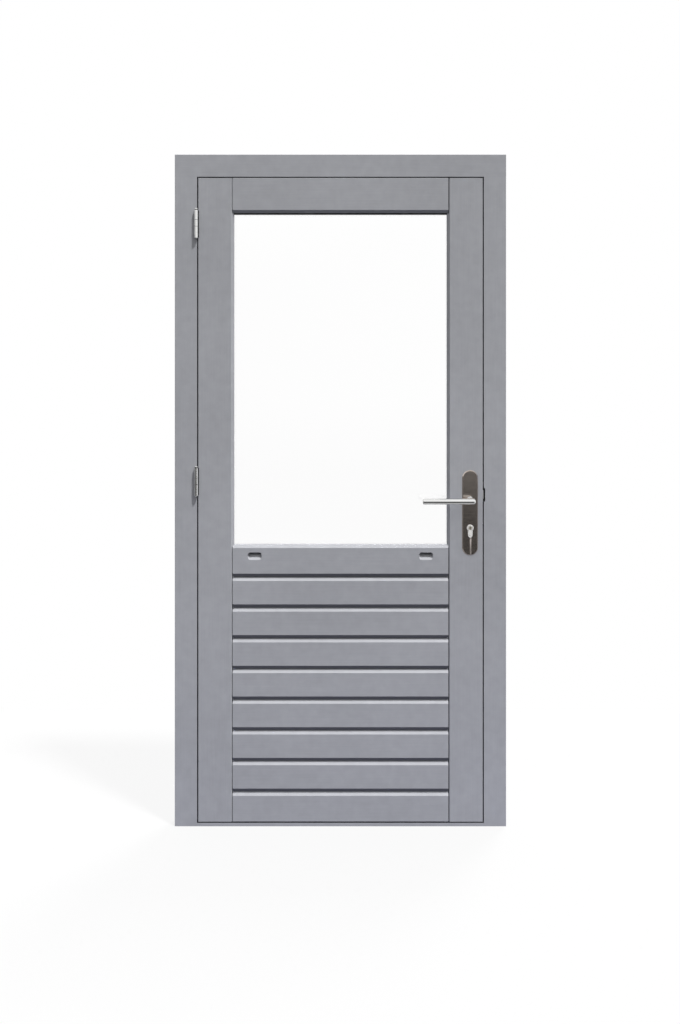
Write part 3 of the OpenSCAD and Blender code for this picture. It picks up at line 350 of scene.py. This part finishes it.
def grey_primer(name, stretch, settings, painted_shade=None, depth=GAP_AND_JOINT_SHADE):
    """Hardwood under a sprayed matt primer: an even grey with faint clouds, the grain just showing through.

    The mask function, if given, marks where shade is painted into the grey; depth is that painted shade's
    share of the grey.
    """
    material, tree = empty_material(name)
    place = add_node(tree, "ShaderNodeTexCoord").outputs["Object"]
    clouds = add_node(tree, "ShaderNodeTexNoise", {
        "Vector": place, "Scale": 1 / settings.mottle, "Detail": 3.0})
    # Broad drifts of film thickness
    drifts = add_node(tree, "ShaderNodeTexNoise", {"Vector": place, "Scale": 1 / DRIFT_W, "Detail": 1.0})
    along = add_node(tree, "ShaderNodeMapping", {
        "Vector": place, "Scale": tuple(1 / (settings.grain * part) for part in stretch)})
    grain = add_node(tree, "ShaderNodeTexNoise", {"Vector": along.outputs[0], "Scale": 1.0, "Detail": 4.0})
    tone_layer = add_node(tree, "ShaderNodeMath", {
        0: clouds.outputs["Fac"], 1: drifts.outputs["Fac"]}, operation="ADD")
    # The grain counts for a little more than half as much as the clouds
    whole = add_node(tree, "ShaderNodeMath", {
        0: grain.outputs["Fac"], 1: 0.6, 2: tone_layer.outputs[0]}, operation="MULTIPLY_ADD")
    spread = add_node(tree, "ShaderNodeMapRange", {
        "Value": whole.outputs[0], "From Min": 0.9, "From Max": 1.7})
    tone = add_node(tree, "ShaderNodeMix", {
        0: spread.outputs[0],
        6: shaded(settings.grey, 1 - TONE_SWING), 7: shaded(settings.grey, 1 + TONE_SWING),
    }, data_type="RGBA")
    # Painted shade: the grey turns dark where the mask is on
    if painted_shade:
        tone = add_node(tree, "ShaderNodeMix", {
            0: painted_shade(tree, place), 6: tone.outputs[2], 7: shaded(settings.grey, depth),
        }, data_type="RGBA")
    dull = add_node(tree, "ShaderNodeMapRange", {
        "Value": clouds.outputs["Fac"],
        "To Min": settings.roughness - DULL_SWING, "To Max": settings.roughness + DULL_SWING})
    # Spray texture, really about a millimetre, drawn at three so that it shows
    peel = add_node(tree, "ShaderNodeTexNoise", {"Vector": place, "Scale": 1 / PEEL_W, "Detail": 2.0})
    pores = add_node(tree, "ShaderNodeBump", {
        "Height": grain.outputs["Fac"], "Strength": 0.12, "Distance": 0.0006})
    skin = add_node(tree, "ShaderNodeBump", {
        "Height": peel.outputs["Fac"], "Strength": 0.06, "Distance": 0.0004, "Normal": pores.outputs[0]})
    paint = add_node(tree, "ShaderNodeBsdfPrincipled", {
        "Base Color": tone.outputs[2], "Roughness": dull.outputs[0], "IOR": 1.45, "Normal": skin.outputs[0]})
    add_node(tree, "ShaderNodeOutputMaterial", {"Surface": paint.outputs[0]})
    return material


def behind_front(tree, place):
    """A mask of the hinge flaps behind the front of the leaf, where shade is painted dark on the steel."""
    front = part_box("stile_hinge")[0].y
    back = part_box("frame_head")[1].y
    return within(tree, split(tree, place)[1], front, back)


def inside_knuckles(tree, place):
    """A mask of the pins between their heads, which are drawn dark."""
    level = split(tree, place)[2]
    spans = [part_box("hinge_%s_frame_flap" % which) for which in ("top", "mid")]
    return joined(tree, "MAXIMUM", *[within(tree, level, low.z, high.z) for low, high in spans])


def below_key(tree, place):
    """A mask of the painted reflection streak that fades from the key cylinder down to the foot of the outer
    plate.
    """
    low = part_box("cylinder_body")[0]
    side, depth, level = split(tree, place)
    offset = add_node(tree, "ShaderNodeMath", {0: side, 1: low.x + STREAK_OFFSET}, operation="SUBTRACT")
    aside = add_node(tree, "ShaderNodeMath", {0: offset.outputs[0]}, operation="ABSOLUTE")
    near = add_node(tree, "ShaderNodeMapRange", {
        "Value": aside.outputs[0], "From Min": STREAK_CORE, "From Max": STREAK_EDGE, "To Min": 1.0, "To Max": 0.0})
    fade = add_node(tree, "ShaderNodeMapRange", {
        "Value": level, "From Min": low.z - STREAK_FOOT, "From Max": low.z - STREAK_HEAD,
        "To Min": STREAK_THIN, "To Max": STREAK_THICK})
    under = within(tree, level, 0, low.z)
    outside = within(tree, depth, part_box("lever_outside")[0].y, 0)
    return joined(tree, "MULTIPLY", near.outputs[0], fade.outputs[0], under, outside)


def brushed_metal(name, colour, roughness, stretch, spacing, contrast=0.1, tone_layer=None, bright=1.0):
    """Stainless steel or nickel with a satin face: fine lines one way, a soft bright sheen across them.

    A tone layer, given as a mask function and a colour, lies dull on the metal where the mask is on. Bright
    below 1 is worn plating.
    """
    material, tree = empty_material(name)
    place = add_node(tree, "ShaderNodeTexCoord").outputs["Object"]
    along = add_node(tree, "ShaderNodeMapping", {
        "Vector": place, "Scale": tuple(1 / (spacing * part) for part in stretch)})
    # Brush marks are a tenth of a millimetre apart, drawn coarser so that they show
    lines = add_node(tree, "ShaderNodeTexNoise", {"Vector": along.outputs[0], "Scale": 1.0, "Detail": 3.0})
    tone = add_node(tree, "ShaderNodeMix", {
        0: lines.outputs["Fac"], 6: shaded(colour, 1 - contrast), 7: shaded(colour, 1 + contrast),
    }, data_type="RGBA")
    # Laid-over tone: the callers use it for painted shade on hinge flaps, dark pins and a painted reflection
    # on the plate
    if tone_layer:
        mask = tone_layer[0](tree, place)
        tone = add_node(tree, "ShaderNodeMix", {
            0: mask, 6: tone.outputs[2], 7: shaded(tone_layer[1], 1.0)}, data_type="RGBA")
        bright = add_node(tree, "ShaderNodeMath", {0: bright, 1: mask}, operation="SUBTRACT").outputs[0]
    dull = add_node(tree, "ShaderNodeMapRange", {
        "Value": lines.outputs["Fac"], "From Min": 0.3, "From Max": 0.7,
        "To Min": roughness - DULL_SWING, "To Max": roughness + DULL_SWING})
    marks = add_node(tree, "ShaderNodeBump", {
        "Height": lines.outputs["Fac"], "Strength": 0.08, "Distance": 0.0002})
    metal = add_node(tree, "ShaderNodeBsdfPrincipled", {
        "Base Color": tone.outputs[2], "Metallic": bright, "Roughness": dull.outputs[0],
        "Normal": marks.outputs[0]})
    add_node(tree, "ShaderNodeOutputMaterial", {"Surface": metal.outputs[0]})
    return material


def plated_zinc(name, colour):
    """Zinc plated sheet: a dull silver with crystal patches a few millimetres wide."""
    material, tree = empty_material(name)
    place = add_node(tree, "ShaderNodeTexCoord").outputs["Object"]
    patches = add_node(tree, "ShaderNodeTexVoronoi", {"Vector": place, "Scale": 1 / CRYSTAL_W})
    shade = add_node(tree, "ShaderNodeSeparateColor", {"Color": patches.outputs["Color"]})
    tone = add_node(tree, "ShaderNodeMix", {
        0: shade.outputs[0], 6: shaded(colour, 0.86), 7: shaded(colour, 1.08)}, data_type="RGBA")
    dull = add_node(tree, "ShaderNodeMapRange", {"Value": shade.outputs[1], "To Min": 0.32, "To Max": 0.5})
    metal = add_node(tree, "ShaderNodeBsdfPrincipled", {
        "Base Color": tone.outputs[2], "Metallic": 1.0, "Roughness": dull.outputs[0]})
    add_node(tree, "ShaderNodeOutputMaterial", {"Surface": metal.outputs[0]})
    return material


def clear_float_glass(name, colour):
    """Clear float glass: nearly invisible from the front, a weak mirror at a slant, with a trace of dust."""
    material, tree = empty_material(name)
    place = add_node(tree, "ShaderNodeTexCoord").outputs["Object"]
    dust = add_node(tree, "ShaderNodeTexNoise", {"Vector": place, "Scale": 1 / DUST_W, "Detail": 4.0})
    haze = add_node(tree, "ShaderNodeMapRange", {
        "Value": dust.outputs["Fac"], "From Min": 0.45, "From Max": 0.8, "To Min": 0.0, "To Max": 0.012})
    glass = add_node(tree, "ShaderNodeBsdfPrincipled", {
        "Base Color": shaded(colour, 1.0), "Roughness": haze.outputs[0], "IOR": 1.45,
        "Specular IOR Level": 0.08, "Transmission Weight": 1.0})
    add_node(tree, "ShaderNodeOutputMaterial", {"Surface": glass.outputs[0]})
    return material


def black_rubber(name, colour, roughness):
    """Black rubber or nylon: a dull black with a fine even tooth and a little bloom."""
    material, tree = empty_material(name)
    place = add_node(tree, "ShaderNodeTexCoord").outputs["Object"]
    bloom = add_node(tree, "ShaderNodeTexNoise", {"Vector": place, "Scale": 1 / BLOOM_W, "Detail": 3.0})
    tooth = add_node(tree, "ShaderNodeTexNoise", {"Vector": place, "Scale": 1 / TOOTH_W, "Detail": 1.0})
    tone = add_node(tree, "ShaderNodeMix", {
        0: bloom.outputs["Fac"], 6: shaded(colour, 0.7), 7: shaded(colour, 1.6)}, data_type="RGBA")
    skin = add_node(tree, "ShaderNodeBump", {
        "Height": tooth.outputs["Fac"], "Strength": 0.2, "Distance": 0.0002})
    rubber = add_node(tree, "ShaderNodeBsdfPrincipled", {
        "Base Color": tone.outputs[2], "Roughness": roughness, "Normal": skin.outputs[0]})
    add_node(tree, "ShaderNodeOutputMaterial", {"Surface": rubber.outputs[0]})
    return material


class DOOR_OT_finish_frame(bpy.types.Operator):
    """Paints the head, the jambs and the threshold."""
    bl_idname = "door.finish_frame"
    bl_label = "Paint the frame"

    def execute(self, context):
        settings = context.scene.door_paint
        # Painted shade darkens the frame in the gap round the leaf and in the latch's keep
        coat(UPRIGHT_FRAME, grey_primer("grey_primer_on_jambs", GRAIN_UP, settings, in_rebate))
        coat(LEVEL_FRAME, grey_primer("grey_primer_on_head", GRAIN_ACROSS, settings, in_rebate))
        return {"FINISHED"}


class DOOR_OT_finish_leaf(bpy.types.Operator):
    """Paints the stiles, rails, boards and glazing beads."""
    bl_idname = "door.finish_leaf"
    bl_label = "Paint the leaf"

    def execute(self, context):
        settings = context.scene.door_paint
        # Painted shade darkens the stiles' bevels where rails and boards end against them
        coat(UPRIGHT_LEAF, grey_primer("grey_primer_on_stiles", GRAIN_UP, settings, in_vee_joint))
        coat(("bead_bottom",), grey_primer("grey_primer_on_bottom_bead", GRAIN_ACROSS, settings))
        # Near-black painted shade under the top rail and bead and along the sight edge
        coat(OVER_GLASS, grey_primer(
            "grey_primer_over_glass", GRAIN_ACROSS, settings, over_glass, PAINTED_SHADE_OVER_GLASS))
        # Painted shade darkens the downward bevels and groove bottoms between the boards
        coat(BOARDS, grey_primer(
            "grey_primer_on_boards", GRAIN_ACROSS, settings, in_board_groove, SHADED_GROOVE))
        return {"FINISHED"}


class DOOR_OT_finish_glazing(bpy.types.Operator):
    """Makes the panes clear, and the seals, tape and blocks black rubber."""
    bl_idname = "door.finish_glazing"
    bl_label = "Glaze and seal"

    def execute(self, context):
        settings = context.scene.door_glazing
        coat(PANES, clear_float_glass("clear_float_glass", settings.glass))
        coat(RUBBER, black_rubber("black_rubber", settings.rubber, roughness=0.75))
        return {"FINISHED"}


class DOOR_OT_finish_hinges(bpy.types.Operator):
    """Makes the hinges and their screws satin stainless steel, and the washers black nylon."""
    bl_idname = "door.finish_hinges"
    bl_label = "Finish the hinges"

    def execute(self, context):
        settings = context.scene.door_metal
        dark = linear(FLAP_SHADE_AND_DARK_PINS)
        # Painted shade darkens the flaps behind the leaf's front; the pins are drawn dark between their heads
        coat(FLAPS, brushed_metal(
            "turned_stainless", settings.steel, roughness=0.16, stretch=(10, 10, 1),
            spacing=settings.brushing, tone_layer=(behind_front, dark)))
        coat(PINS, brushed_metal(
            "turned_stainless_pin", settings.steel, roughness=0.16, stretch=(10, 10, 1),
            spacing=settings.brushing, tone_layer=(inside_knuckles, dark)))
        coat(("hinge_washers",), black_rubber(
            "black_nylon_washer", context.scene.door_glazing.rubber, roughness=0.5))
        return {"FINISHED"}


class DOOR_OT_finish_lock(bpy.types.Operator):
    """Finishes the lock, its faceplate and the strike plate, and gives the latch spring a mesh of its own."""
    bl_idname = "door.finish_lock"
    bl_label = "Finish the lock"

    def execute(self, context):
        settings = context.scene.door_metal
        coat(LOCK_STEEL, brushed_metal(
            "brushed_stainless_strip", settings.steel, roughness=0.32, stretch=(1, 1, 30),
            spacing=settings.brushing))
        coat(LOCK_ZINC, plated_zinc("plated_zinc", settings.zinc))
        self.fold_spring()
        return {"FINISHED"}

    def fold_spring(self):
        """Gives the latch spring a mesh of its own."""
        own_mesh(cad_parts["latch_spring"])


class DOOR_OT_finish_handle(bpy.types.Operator):
    """Finishes plates, levers, plate bolts and the key cylinder, and adds the cylinder's collar."""
    bl_idname = "door.finish_handle"
    bl_label = "Finish the handle"

    def execute(self, context):
        settings = context.scene.door_metal
        # Level brush marks on the plates draw reflections out into upright streaks
        # A pale streak below the key is a painted reflection on the outer plate
        coat(PLATES, brushed_metal(
            "brushed_stainless_plate", settings.plate, roughness=0.17, stretch=(40, 1, 1),
            spacing=settings.brushing / 2, contrast=0.03, tone_layer=(below_key, linear(PAINTED_REFLECTION_STREAK))))
        coat(LEVERS, brushed_metal(
            "satin_stainless_bar", settings.steel, roughness=0.11, stretch=(30, 1, 1),
            spacing=settings.brushing, contrast=0.05))
        coat(("plate_bolts",), brushed_metal(
            "turned_stainless_bolt", settings.steel, roughness=0.3, stretch=(1, 10, 1),
            spacing=settings.brushing))
        nickel = brushed_metal(
            "satin_nickel", settings.nickel, roughness=0.6, stretch=(1, 20, 1),
            spacing=settings.brushing, bright=0.6)
        coat(("cylinder_body",), nickel)
        coat(PLUGS, brushed_metal(
            "worn_nickel", settings.plug, roughness=0.7, stretch=(1, 20, 1), spacing=settings.brushing))
        self.add_collar(context, nickel)
        return {"FINISHED"}

    def add_collar(self, context, material):
        """Raised collar on the outer plate, a groove's width outside the key cylinder and longer below it."""
        low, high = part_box("cylinder_body")
        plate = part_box("plate_outside")[0].y
        centre = ((low.x + high.x) / 2, plate, high.z - CYLINDER_HEAD_R)
        hole = self.keyhole_outline(context, centre, *HOLE_OUTLINE)
        collar = self.keyhole_outline(context, centre, *COLLAR_OUTLINE)
        hole.select_set(True)
        bpy.ops.object.join()
        bpy.ops.object.mode_set(mode="EDIT")
        bpy.ops.mesh.select_all(action="SELECT")
        bpy.ops.mesh.bridge_edge_loops()
        bpy.ops.mesh.select_all(action="SELECT")
        bpy.ops.mesh.extrude_region_move(TRANSFORM_OT_translate={"value": (0, -COLLAR_H, 0)})
        bpy.ops.mesh.select_all(action="SELECT")
        bpy.ops.mesh.normals_make_consistent(inside=False)
        bpy.ops.object.mode_set(mode="OBJECT")
        soften = collar.modifiers.new("soften", "BEVEL")
        soften.width = COLLAR_SOFT
        soften.segments = 3
        soften.angle_limit = math.radians(60)
        bpy.ops.object.modifier_apply(modifier=soften.name)
        bpy.ops.object.shade_smooth_by_angle(angle=math.radians(35))
        collar.name = "cylinder_collar"
        collar.data.materials.append(material)
        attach(collar, "leaf")

    def keyhole_outline(self, context, centre, radius, stem, reach):
        """A closed line on the plate: a circle whose foot, as wide as the stem, is drawn down to a reach."""
        bpy.ops.object.select_all(action="DESELECT")
        bpy.ops.mesh.primitive_circle_add(
            vertices=64, radius=radius, location=centre, rotation=(math.pi / 2, 0, 0))
        outline = context.active_object
        bpy.ops.object.transform_apply(location=True, rotation=True, scale=True)
        bpy.ops.object.mode_set(mode="EDIT")
        bpy.ops.mesh.select_mode(type="VERT")
        bpy.ops.mesh.select_all(action="DESELECT")
        bpy.ops.object.mode_set(mode="OBJECT")
        x, y, z = centre
        for corner in outline.data.vertices:
            corner.select = corner.co.z < z and abs(corner.co.x - x) < stem
        bpy.ops.object.mode_set(mode="EDIT")
        # The arc between the stem's sides becomes about a half circle
        rounder = stem / (radius - math.sqrt(radius ** 2 - stem ** 2))
        bpy.ops.transform.resize(value=(1, 1, rounder), center_override=(x, y, z - radius))
        bpy.ops.transform.translate(value=(0, 0, radius - reach))
        bpy.ops.object.mode_set(mode="OBJECT")
        return outline


class DOOR_OT_set_stage(bpy.types.Operator):
    """Adds the floor, the lights, the white surroundings and the camera."""
    bl_idname = "door.set_stage"
    bl_label = "Set the stage"

    def execute(self, context):
        settings = context.scene.door_stage
        bpy.ops.object.select_all(action="DESELECT")
        bpy.ops.mesh.primitive_plane_add(size=1)
        floor = context.active_object
        floor.name = "stage_floor"
        floor.data.transform(Matrix.LocRotScale((0, 0, -FLOOR_DROP), None, (FLOOR_W, FLOOR_D, 1)))
        floor.data.materials.append(self.floor_material())
        self.add_sun(context, "key_light", SUN_FROM, settings.sun, SUN_SPREAD)
        self.add_sun(context, "back_light", FILL_FROM, settings.fill, FILL_SPREAD)
        self.light_world(context.scene, settings)
        for name in SHADOWLESS:
            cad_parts[name].visible_shadow = False
        bpy.ops.object.camera_add(
            location=(CAMERA_X, -settings.distance, settings.height), rotation=(math.pi / 2, 0, 0))
        camera = context.active_object
        camera.name = "stage_camera"
        camera.data.lens = settings.lens
        camera.data.sensor_width = 36
        camera.data.shift_y = CAMERA_SHIFT
        camera.data.clip_start = 0.05
        context.scene.camera = camera
        context.scene.view_settings.view_transform = "Standard"
        return {"FINISHED"}

    def add_sun(self, context, name, direction, strength, spread):
        """A distant lamp that shines from a direction, with a soft edge of so many degrees."""
        bpy.ops.object.light_add(type="SUN")
        lamp = context.active_object
        lamp.name = name
        lamp.rotation_euler = Vector(direction).to_track_quat("Z", "Y").to_euler()
        lamp.data.energy = strength
        lamp.data.angle = math.radians(spread)
        # Reflections show the white surroundings and not the lamp
        lamp.visible_glossy = False

    def floor_material(self):
        """Pale floor: white to the eye with a faint shadow, dimmer in reflections, a dull blue bounce."""
        material, tree = empty_material("pale_floor")
        path = add_node(tree, "ShaderNodeLightPath")
        seen = joined(
            tree, "MAXIMUM", path.outputs["Is Camera Ray"], path.outputs["Is Glossy Ray"],
            path.outputs["Is Transmission Ray"])
        shadow = add_node(tree, "ShaderNodeBsdfDiffuse", {"Color": shaded(linear(FLOOR_PAINT), 1.0)})
        glow = add_node(tree, "ShaderNodeMix", {
            0: path.outputs["Is Glossy Ray"], 2: 1.0, 3: FLOOR_MIRRORED}, data_type="FLOAT")
        white = add_node(tree, "ShaderNodeEmission", {
            "Color": shaded(linear(WHITE), 1.0), "Strength": glow.outputs[0]})
        # The shadow fades out before the front edge of the floor
        depth = split(tree, add_node(tree, "ShaderNodeTexCoord").outputs["Object"])[1]
        plain = add_node(tree, "ShaderNodeMapRange", {
            "Value": depth, "From Min": -FLOOR_D / 2, "From Max": FADE_END,
            "To Min": 1.0, "To Max": FLOOR_PLAIN})
        bright = add_node(tree, "ShaderNodeMixShader", {
            0: plain.outputs[0], 1: shadow.outputs[0], 2: white.outputs[0]})
        bounce = add_node(tree, "ShaderNodeBsdfDiffuse", {"Color": shaded(linear(FLOOR_BOUNCE), 1.0)})
        mixed = add_node(tree, "ShaderNodeMixShader", {0: seen, 1: bounce.outputs[0], 2: bright.outputs[0]})
        add_node(tree, "ShaderNodeOutputMaterial", {"Surface": mixed.outputs[0]})
        return material

    def light_world(self, scene, settings):
        """White to the eye; as light, a bright sky and dimmer sides; in reflections, also a dark ground."""
        world = bpy.data.worlds.new("stage_world")
        world.use_nodes = True
        tree = world.node_tree
        tree.nodes.clear()
        scene.world = world
        path = add_node(tree, "ShaderNodeLightPath")
        seen = joined(tree, "MAXIMUM", path.outputs["Is Camera Ray"], path.outputs["Is Transmission Ray"])
        way = add_node(tree, "ShaderNodeTexCoord").outputs["Generated"]
        parts = add_node(tree, "ShaderNodeSeparateXYZ", {0: way})
        x, y, z = parts.outputs["X"], parts.outputs["Y"], parts.outputs["Z"]
        rise = add_node(tree, "ShaderNodeMapRange", {
            "Value": z, "From Min": 0.15, "From Max": 0.6,
            "To Min": settings.ambient, "To Max": settings.sky})
        across = joined(tree, "MULTIPLY", x, x)
        shine = add_node(tree, "ShaderNodeMath", {
            0: across, 1: settings.sides, 2: rise.outputs[0]}, operation="MULTIPLY_ADD")
        # In reflections the horizon is bright on the right and dimmer on the left, and the sky is white
        right = add_node(tree, "ShaderNodeMapRange", {
            "Value": x, "From Min": -0.3, "From Max": 0.4, "To Min": 0.25, "To Max": 1.0})
        above = add_node(tree, "ShaderNodeMapRange", {
            "Value": z, "From Min": 0.02, "From Max": 0.25, "To Min": 0.0, "To Max": 1.0})
        round_about = joined(tree, "MAXIMUM", right.outputs[0], above.outputs[0])
        # Dark ground in front of the pale floor, from the horizon down
        ahead = add_node(tree, "ShaderNodeMapRange", {
            "Value": y, "From Min": -0.7, "From Max": -0.5, "To Min": 1.0, "To Max": 0.0})
        below = add_node(tree, "ShaderNodeMapRange", {
            "Value": z, "From Min": -0.08, "From Max": 0.0, "To Min": 1.0, "To Max": 0.0})
        ground = joined(tree, "MULTIPLY", ahead.outputs[0], below.outputs[0])
        mirror = add_node(tree, "ShaderNodeMix", {
            0: ground, 2: round_about, 3: GROUND_MIRRORED}, data_type="FLOAT")
        light = add_node(tree, "ShaderNodeMix", {
            0: path.outputs["Is Glossy Ray"], 2: shine.outputs[0], 3: mirror.outputs[0]}, data_type="FLOAT")
        level = add_node(tree, "ShaderNodeMix", {0: seen, 2: light.outputs[0], 3: 1.0}, data_type="FLOAT")
        white = add_node(tree, "ShaderNodeBackground", {
            "Color": shaded(linear(WHITE), 1.0), "Strength": level.outputs[0]})
        add_node(tree, "ShaderNodeOutputWorld", {"Surface": white.outputs[0]})


class DOOR_PT_panel(bpy.types.Panel):
    """Lists the steps and their settings in the sidebar."""
    bl_idname = "DOOR_PT_panel"
    bl_label = "Hardwood door"
    bl_space_type = "VIEW_3D"
    bl_region_type = "UI"
    bl_category = "Door"

    def draw(self, context):
        for group in ("door_paint", "door_metal", "door_glazing", "door_stage"):
            settings = getattr(context.scene, group)
            box = self.layout.box()
            for name in settings.bl_rna.properties.keys():
                if name not in ("rna_type", "name"):
                    box.prop(settings, name)
        for step in STEPS:
            self.layout.operator(step.bl_idname)


GROUPS = {
    "door_paint": DoorPaintSettings,
    "door_metal": DoorMetalSettings,
    "door_glazing": DoorGlazingSettings,
    "door_stage": DoorStageSettings,
}
STEPS = (
    DOOR_OT_finish_frame,
    DOOR_OT_finish_leaf,
    DOOR_OT_finish_glazing,
    DOOR_OT_finish_hinges,
    DOOR_OT_finish_lock,
    DOOR_OT_finish_handle,
    DOOR_OT_set_stage,
)


def register():
    for name, group in GROUPS.items():
        bpy.utils.register_class(group)
        setattr(bpy.types.Scene, name, bpy.props.PointerProperty(type=group))
    for step in STEPS:
        bpy.utils.register_class(step)
    bpy.utils.register_class(DOOR_PT_panel)


def unregister():
    bpy.utils.unregister_class(DOOR_PT_panel)
    for step in reversed(STEPS):
        bpy.utils.unregister_class(step)
    for name, group in GROUPS.items():
        delattr(bpy.types.Scene, name)
        bpy.utils.unregister_class(group)


def main():
    register()
    bpy.ops.door.finish_frame()
    bpy.ops.door.finish_leaf()
    bpy.ops.door.finish_glazing()
    bpy.ops.door.finish_hinges()
    bpy.ops.door.finish_lock()
    bpy.ops.door.finish_handle()
    bpy.ops.door.set_stage()


if __name__ == "__main__":
    main()
